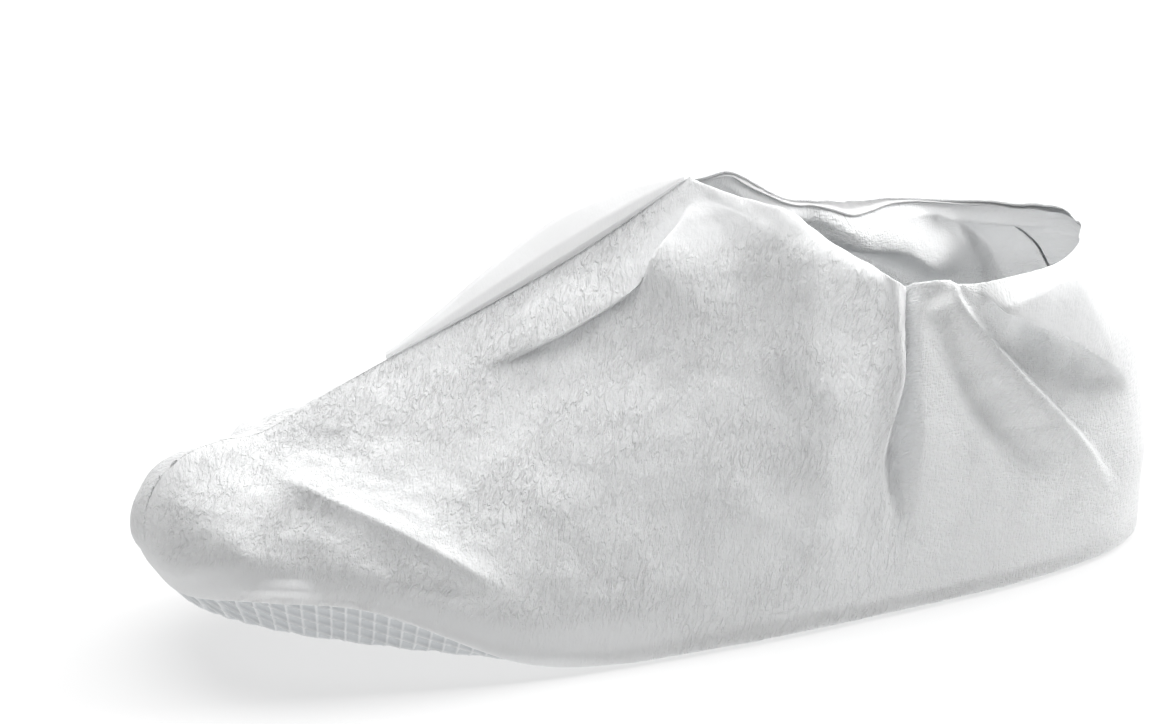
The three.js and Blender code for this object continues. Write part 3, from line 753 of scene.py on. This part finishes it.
# Ankle hem: the turned-in cloth below the rim. It is narrower and thinner than the solid's band.
HEM_LOW = 0.967  # share of the panel's height
HEM_HIGH = 0.993
HEM_ROWS = 12
HEM_COLUMNS = 180  # on each side
HEM_GAP = 0.06
HEM_WALL = 0.2
HEM_FOOT_WALL = 0.9  # the band stands out at its lower edge, where the elastic lies
HEM_RIPPLES = 31  # on each side
HEM_RIPPLE_DEPTH = 0.04
HEM_UNEVEN = 3  # shift of the ripples, so that they differ in width
HEM_UNEVEN_TURNS = 9  # how fast that changes along the rim
HEM_THIN_OVER = 0.5  # share of the band's width over which it thins out above its foot
HEM_START = 0.02  # in sections, from the opening's front
HEM_FRONT_HALF = 0.4  # least distance from the middle plane there
HEM_LINEN = 0.6  # strength of its linen-like texture


def hem_face(side, back, u, v):
    points, place = cloth_at(side, u, v)
    normals = grid_normals(points)
    along, ends = along_rim(u)
    turn = 2 * np.pi * HEM_RIPPLES * along + HEM_UNEVEN * np.sin(HEM_UNEVEN_TURNS * along)
    ripple = HEM_RIPPLE_DEPTH * np.sin(turn) * ends
    inset = wall_depth(u, v) + HEM_GAP
    if back:
        rising = smooth((v - HEM_LOW) / (HEM_HIGH - HEM_LOW) / HEM_THIN_OVER)
        inset = inset + HEM_FOOT_WALL + (HEM_WALL - HEM_FOOT_WALL + ripple) * rising
    points = points - normals * inset[..., None]
    if side == "right":
        points = points * ACROSS
    return points, place


def hem_piece(name):
    u = np.linspace(OPENING_FRONT + HEM_START, LAST, HEM_COLUMNS + 1)[:, None]
    v = np.linspace(HEM_LOW, HEM_HIGH, HEM_ROWS + 1)[None, :]
    faces = []
    for back in (False, True):
        left, place = hem_face("left", back, u, v)
        right, _ = hem_face("right", back, u, v)
        heel = (left[-1:] + right[-1:]) / 2
        heel[..., 0] = 0
        left[0, :, 0] = np.maximum(left[0, :, 0], HEM_FRONT_HALF)
        right[0, :, 0] = np.minimum(right[0, :, 0], -HEM_FRONT_HALF)
        faces.append(np.concatenate([left[:-1], heel, right[-2::-1]]))
    outer, inner = faces
    places = np.concatenate([place, place[-2::-1]])
    marks = linen_marks(outer, HEM_LINEN)
    parts = MeshParts()
    parts.add_slab(outer, inner, places, marks, marks, loop=True)
    return parts.make(name)


# Front seam: the panels' edges folded together and standing along the instep ridge
SEAM_START = 4.45  # in sections
SEAM_END = 6.95
SEAM_UPRIGHT = 4.2  # its upright part where it is highest
SEAM_OVER = 8.0  # the part that is folded over, there
SEAM_END_SHARE = 0.15  # of both at the ends
SEAM_SKEW = 1.3  # above 1, the highest place lies towards the opening
SEAM_FOOT = 2.0  # the part that lies on the panel
SEAM_LIFT = 0.06  # from the panel to the foot
SEAM_LEANS = (-4, 42)  # degrees from upright, towards the wearer's right: upright part, folded part
SEAM_WALL = 0.9
SEAM_EDGE_WALL = 0.15  # at both edges
SEAM_EDGE_REACH = 1.6  # over which the wall thins out to them
SEAM_COLUMNS = 160
SEAM_ROWS = 44
SEAM_TURN = 0.9  # over which it bends
SEAM_WAVE = 3  # degrees by which the folded part sways
SEAM_WAVES = 9  # half waves along it
SEAM_UNEVEN = 2.5  # shift of the waves, so that they differ in length
SEAM_UNEVEN_TURNS = 5  # how fast that changes along it
SEAM_LINEN = 0.25  # strength of its linen-like texture


def seam_piece(name):
    u = np.linspace(SEAM_START, SEAM_END, SEAM_COLUMNS + 1)
    share = (u - SEAM_START) / (SEAM_END - SEAM_START)
    swell = SEAM_END_SHARE + (1 - SEAM_END_SHARE) * np.sin(np.pi * share ** SEAM_SKEW)
    slope = np.radians(section_at(u)["droop"])
    ridge = surface_at("left", u, 1.0)
    ridge[:, 0] = 0
    foot = SEAM_FOOT * swell
    upright = SEAM_UPRIGHT * swell
    length = foot + upright + SEAM_OVER * swell
    level = np.zeros_like(slope)
    down = np.stack([np.cos(slope), level, -np.sin(slope)], -1)
    off_panel = np.stack([np.sin(slope), level, np.cos(slope)], -1)
    on_panel = np.pi / 2 - slope
    sway = np.sin(SEAM_WAVES * np.pi * share + SEAM_UNEVEN * np.sin(SEAM_UNEVEN_TURNS * share))
    point = ridge + down * foot[:, None] + off_panel * (SEAM_LIFT + SEAM_WALL / 2)
    profile = [point]
    for step in range(SEAM_ROWS):
        along = (step + 0.5) / SEAM_ROWS * length
        standing = smooth((along - foot) / SEAM_TURN + 0.5)
        folded = smooth((along - foot - upright) / SEAM_TURN + 0.5)
        lean = on_panel + (np.radians(SEAM_LEANS[0]) - on_panel) * standing
        lean = lean + np.radians(SEAM_LEANS[1] - SEAM_LEANS[0]) * folded
        lean = lean + np.radians(SEAM_WAVE) * folded * sway
        rising = np.stack([-np.sin(lean), level, np.cos(lean)], -1)
        point = point + rising * (length / SEAM_ROWS)[:, None]
        profile.append(point)
    middle = np.stack(profile, axis=1)
    normals = grid_normals(middle)
    t = np.linspace(0, 1, SEAM_ROWS + 1)[None, :, None]
    along = t * length[:, None, None]
    inward = smooth(np.minimum(along, length[:, None, None] - along) / SEAM_EDGE_REACH)
    half = (SEAM_EDGE_WALL + (SEAM_WALL - SEAM_EDGE_WALL) * inward) / 2
    outer = middle + normals * half
    inner = middle - normals * half
    place = np.stack(np.broadcast_arrays(ridge[:, None, 1], length[:, None] * t[..., 0]), -1)
    marks = linen_marks(outer, SEAM_LINEN)
    parts = MeshParts()
    parts.add_slab(outer, inner, place, marks, marks)
    return parts.make(name)


# Heel seam: a strip inside the back, a little to the right, narrower and thinner than the solid's
HEEL_STRIP_AT = 13.9
HEEL_STRIP_WIDE = 0.024  # in sections, on each side of its middle
HEEL_STRIP_LOW = 0.16
HEEL_STRIP_HIGH = 0.89
HEEL_STRIP_GAP = 0.06
HEEL_STRIP_WALL = 0.2
HEEL_STRIP_COLUMNS = 8
HEEL_STRIP_ROWS = 80
HEEL_STRIP_CROWN = 0.7  # share of its wall that is gone at its sides
HEEL_STRIP_LINEN = 0.4  # strength of its linen-like texture


def heel_piece(name):
    start = HEEL_STRIP_AT - HEEL_STRIP_WIDE
    end = HEEL_STRIP_AT + HEEL_STRIP_WIDE
    u = np.linspace(start, end, HEEL_STRIP_COLUMNS + 1)[:, None]
    v = np.linspace(HEEL_STRIP_LOW, HEEL_STRIP_HIGH, HEEL_STRIP_ROWS + 1)[None, :]
    points, place = cloth_at("right", u, v)
    normals = grid_normals(points)
    crown = 1 - ((u - HEEL_STRIP_AT) / HEEL_STRIP_WIDE) ** 4 * HEEL_STRIP_CROWN
    lining = CLOTH_WALL + HEEL_STRIP_GAP
    outer = points - normals * lining
    inner = points - normals * (lining + HEEL_STRIP_WALL * crown)[..., None]
    marks = linen_marks(points, HEEL_STRIP_LINEN)
    parts = MeshParts()
    parts.add_slab(outer, inner, place, marks, marks)
    return parts.make(name, mirror=True)


# Materials


class Nodes:
    """Short names for adding shader nodes to a material."""

    def __init__(self, name):
        self.material = bpy.data.materials.new(name)
        self.material.use_nodes = True
        self.tree = self.material.node_tree
        self.shader = self.tree.nodes["Principled BSDF"]

    def set(self, values):
        """Sets sockets of the shader to uniform values."""
        for name, value in values.items():
            self.shader.inputs[name].default_value = value

    def put(self, value, socket):
        if isinstance(value, bpy.types.NodeSocket):
            self.tree.links.new(value, socket)
        else:
            socket.default_value = value

    def add(self, kind, inputs, **settings):
        """Adds a node with its settings and with values or links for its inputs."""
        node = self.tree.nodes.new("ShaderNode" + kind)
        for name, value in settings.items():
            setattr(node, name, value)
        for name, value in inputs.items():
            self.put(value, node.inputs[name])
        return node

    def math(self, operation, *values):
        return self.add("Math", dict(enumerate(values)), operation=operation).outputs[0]

    def attribute(self, name):
        return self.add("Attribute", {}, attribute_name=name).outputs["Vector"]

    def parts_of(self, vector):
        return self.add("SeparateXYZ", {0: vector}).outputs

    def noise(self, per_mm, detail=2.0, roughness=0.5, distortion=0.0):
        """Noise with so many spots per mm: along X, Y and Z, or along and up the flat cloth."""
        if len(per_mm) == 3:
            place = self.add("TexCoord", {}).outputs["Object"]
            spots = [share / MM for share in per_mm]
        else:
            place = self.attribute("cloth_place")
            spots = (*per_mm, 0)
        stretched = self.add("VectorMath", {0: place, 1: spots}, operation="MULTIPLY").outputs[0]
        inputs = {"Vector": stretched, "Scale": 1.0, "Detail": detail, "Roughness": roughness}
        return self.add("TexNoise", {**inputs, "Distortion": distortion}).outputs["Fac"]

    def between(self, value, low, high):
        """Value moved so that low becomes 0 and high becomes 1, and held there."""
        inputs = {"Value": value, "From Min": low, "From Max": high}
        return self.add("MapRange", inputs, interpolation_type="SMOOTHSTEP").outputs["Result"]

    def bump(self, height, distance):
        node = self.add("Bump", {"Strength": 1.0, "Distance": distance, "Height": height})
        self.put(node.outputs["Normal"], self.shader.inputs["Normal"])

    def ramp(self, factor, low, high):
        node = self.add("Mix", {"Factor": factor, "A": low, "B": high}, data_type="RGBA")
        return next(socket for socket in node.outputs if socket.type == "RGBA")


CLOTH_LIGHT = (0.91, 0.918, 0.923, 1)
CLOTH_SHADE = (0.865, 0.877, 0.885, 1)
# Painted light: the seams' and the hem's cloth is whiter than the panels', to lift these doubled layers
# out of their shade
SEAM_PAINTED_LIGHT = (0.94, 0.945, 0.95, 1)
SEAM_RELIEF = 0.0001
STROKE_SPOTS = (0.72, 0.22)  # embossed strokes per mm: along, and up, where they are longer
STROKE_LEVELS = (0.44, 0.58)  # levels of the noise between which a stroke rises
STROKE_WAVER = 1.1  # how wavy the strokes are
FINE_SPOTS = (1.9, 0.9)  # fibres between the strokes
FINE_HEIGHT = 0.7  # of a full mark
WARP_SPOTS = (1.9, 0.6)  # linen-like texture: upright and level threads
WEFT_SPOTS = (0.6, 1.9)
THREAD_HEIGHT = 1.3
THREAD_DETAIL = 1.0
CRUMPLE_SPOTS = (0.22, 0.22, 0.22)
CRUMPLE_HEIGHT = 0.6
CRUMPLE_DETAIL = 3.0
CRUMPLE_ROUGHNESS = 0.55
PATCH_SPOTS = (0.045, 0.045, 0.045)  # the strokes are weaker in places
PATCH_LEVELS = (0.35, 0.65)
PATCH_SHARE = 0.65  # of a stroke that comes and goes
PATCH_LEAST = 0.35  # of a stroke that stays
TONE_SPOTS = (0.03, 0.03, 0.03)
TONE_DETAIL = 4.0
TONE_ROUGHNESS = 0.6
CLOTH_RELIEF = 0.0006  # m, height of a full mark
CLOTH_GLOW = 0.75  # share of the light that goes into the thin cloth and partly through it
CLOTH_GLOW_REACH = 0.0023  # m
SEAM_GLOW_REACH = 0.006
CLOTH_SHADER = {
    "Roughness": 0.8,
    "Specular IOR Level": 0.25,
    "Subsurface Weight": CLOTH_GLOW,
    "Subsurface Radius": (1.0, 1.0, 1.0),
    "Sheen Weight": 0.12,
    "Sheen Roughness": 0.5,
}


def cloth_material(name, light, shade, relief, glow_reach):
    """White nonwoven: columns of short wavy embossed marks, a fine linen-like texture, and soft fibres."""
    nodes = Nodes(name)
    emboss, linen, _ = nodes.parts_of(nodes.attribute("cloth_mark"))

    stroke = nodes.between(nodes.noise(STROKE_SPOTS, distortion=STROKE_WAVER), *STROKE_LEVELS)
    patchy = nodes.between(nodes.noise(PATCH_SPOTS), *PATCH_LEVELS)
    patchy = nodes.math("MULTIPLY_ADD", patchy, PATCH_SHARE, PATCH_LEAST)
    mark = nodes.math("MULTIPLY", nodes.math("MULTIPLY", stroke, patchy), emboss)
    fine = nodes.math("MULTIPLY", nodes.math("MULTIPLY", nodes.noise(FINE_SPOTS), FINE_HEIGHT), emboss)
    warp = nodes.noise(WARP_SPOTS, THREAD_DETAIL)
    weft = nodes.noise(WEFT_SPOTS, THREAD_DETAIL)
    threads = nodes.math("MULTIPLY", nodes.math("ADD", warp, weft), THREAD_HEIGHT)
    weave = nodes.math("MULTIPLY", nodes.math("ADD", threads, fine), linen)
    crumple = nodes.noise(CRUMPLE_SPOTS, CRUMPLE_DETAIL, CRUMPLE_ROUGHNESS)
    crumple = nodes.math("MULTIPLY", crumple, CRUMPLE_HEIGHT)
    height = nodes.math("ADD", nodes.math("ADD", mark, weave), nodes.math("ADD", fine, crumple))
    nodes.bump(height, relief)

    tone = nodes.noise(TONE_SPOTS, TONE_DETAIL, TONE_ROUGHNESS)
    nodes.put(nodes.ramp(tone, shade, light), nodes.shader.inputs["Base Color"])
    nodes.set(CLOTH_SHADER)
    nodes.set({"Subsurface Scale": glow_reach})
    return nodes.material


PIT_SPOTS = (1.2, 1.2, 1.2)
PIT_HEIGHT = 0.5
PIT_RELIEF = 0.0002  # m
WORN_DETAIL = 3.0
WORN_SHARE = 0.5  # how much the ribs and the field differ from place to place
WORN_SHIFT = -0.25
SOLE_RIB = (0.86, 0.872, 0.88, 1)
SOLE_FIELD = (0.60, 0.62, 0.635, 1)
SOLE_SHADER = {"Roughness": 0.6, "Specular IOR Level": 0.35}


def sole_material(name):
    """Coated sole: pale raised ribs over a slightly darker, finely pitted field."""
    nodes = Nodes(name)
    rib, _, _ = nodes.parts_of(nodes.attribute("cloth_mark"))
    nodes.bump(nodes.math("MULTIPLY", nodes.noise(PIT_SPOTS), PIT_HEIGHT), PIT_RELIEF)
    worn = nodes.math("MULTIPLY_ADD", nodes.noise(CRUMPLE_SPOTS, WORN_DETAIL), WORN_SHARE, WORN_SHIFT)
    factor = nodes.math("MINIMUM", nodes.math("MAXIMUM", nodes.math("ADD", rib, worn), 0.0), 1.0)
    nodes.put(nodes.ramp(factor, SOLE_FIELD, SOLE_RIB), nodes.shader.inputs["Base Color"])
    nodes.set(SOLE_SHADER)
    return nodes.material


# Pieces

upper_cloth = cloth_material("upper_cloth", CLOTH_LIGHT, CLOTH_SHADE, CLOTH_RELIEF, CLOTH_GLOW_REACH)
# the seams and the hem get the whiter cloth, a painted light against the shade they fall in
seam_cloth = cloth_material("seam_cloth", SEAM_PAINTED_LIGHT, SEAM_PAINTED_LIGHT, SEAM_RELIEF, SEAM_GLOW_REACH)
sole_grid = sole_material("sole_grid")

panel_left = panel_piece("cover_panel_left", "left")
panel_right = panel_piece("cover_panel_right", "right")
sole = sole_piece("cover_sole")
hem = hem_piece("cover_ankle_hem")
front_seam = seam_piece("cover_front_seam")
heel_seam = heel_piece("cover_heel_seam")

PIECES = (
    (panel_left, "side_panel_left", "upper_cloth", upper_cloth),
    (panel_right, "side_panel_right", "upper_cloth", upper_cloth),
    (sole, "sole", "sole_grid", sole_grid),
    (hem, "ankle_hem", "hem_cloth", seam_cloth),
    (front_seam, "front_seam", "seam_cloth", seam_cloth),
    (heel_seam, "heel_seam", "seam_cloth", seam_cloth),
)
for piece, node, slot, material in PIECES:
    piece.data.materials.append(material)
    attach(piece, "root")
    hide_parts(node)

# Floor
FLOOR_HALF = 6.0
FLOOR_GLOW = 0.63  # the floor gives off light of its own, which keeps it white and shadows pale
FLOOR_UNDER = 0.0004  # m below the sole, so that the two don't touch
FLOOR_SHADER = {
    "Base Color": (0.3, 0.3, 0.3, 1),
    "Emission Color": (1, 1, 1, 1),
    "Emission Strength": FLOOR_GLOW,
    "Roughness": 0.9,
    "Specular IOR Level": 0.1,
}


def floor_piece():
    corners = [(-1, -1), (1, -1), (1, 1), (-1, 1)]
    mesh = bpy.data.meshes.new("floor")
    points = [(x * FLOOR_HALF, y * FLOOR_HALF, -FLOOR_UNDER) for x, y in corners]
    mesh.from_pydata(points, [], [(0, 1, 2, 3)])
    nodes = Nodes("floor")
    nodes.set(FLOOR_SHADER)
    mesh.materials.append(nodes.material)
    return add_object("floor", mesh)


floor_piece()

# Camera, where the photograph's was
AZIMUTH = math.radians(67)
ELEVATION = math.radians(18)
DISTANCE = 1.2
TARGET = Vector((0, 0, 0.06))
LENS = 123.7
SENSOR = 36
SHIFT = (-0.0739, 0.0284)

camera = add_object("camera", bpy.data.cameras.new("camera"))
backward = Vector((
    math.sin(AZIMUTH) * math.cos(ELEVATION),
    -math.cos(AZIMUTH) * math.cos(ELEVATION),
    math.sin(ELEVATION),
))
camera.location = TARGET + backward * DISTANCE
camera.rotation_euler = backward.to_track_quat("Z", "Y").to_euler()
camera.data.lens = LENS
camera.data.sensor_width = SENSOR
camera.data.sensor_fit = "HORIZONTAL"
camera.data.shift_x, camera.data.shift_y = SHIFT
camera.data.clip_end = 100
bpy.context.scene.camera = camera

# Light: large soft panels above and behind, from the heel's side, and weak fills
LIGHT_COLUMNS = ("name", "place", "size", "watts")
LIGHT_ROWS = (
    ("overhead", (-0.5, 0.1, 2.0), 2.4, 70),
    ("heel_side", (0.1, 1.5, 1.2), 1.2, 32),
    ("far_side", (-1.3, 0.5, 0.9), 1.0, 3),
    ("front_fill", (1.6, -0.7, 0.9), 1.6, 4),
)
AIM = Vector((0, 0, 0.05))
for row in LIGHT_ROWS:
    light = dict(zip(LIGHT_COLUMNS, row))
    data = bpy.data.lights.new(light["name"], "AREA")
    data.shape = "SQUARE"
    data.size = light["size"]
    data.energy = light["watts"]
    lamp = add_object(light["name"], data)
    lamp.location = light["place"]
    lamp.rotation_euler = (lamp.location - AIM).to_track_quat("Z", "Y").to_euler()

SURROUND = (0.93, 0.97, 1.0, 1)
SURROUND_STRENGTH = 0.01
world = bpy.data.worlds.new("surround")
world.use_nodes = True
background = world.node_tree.nodes["Background"]
background.inputs["Color"].default_value = SURROUND
background.inputs["Strength"].default_value = SURROUND_STRENGTH
bpy.context.scene.world = world
bpy.context.scene.view_settings.view_transform = "Standard"
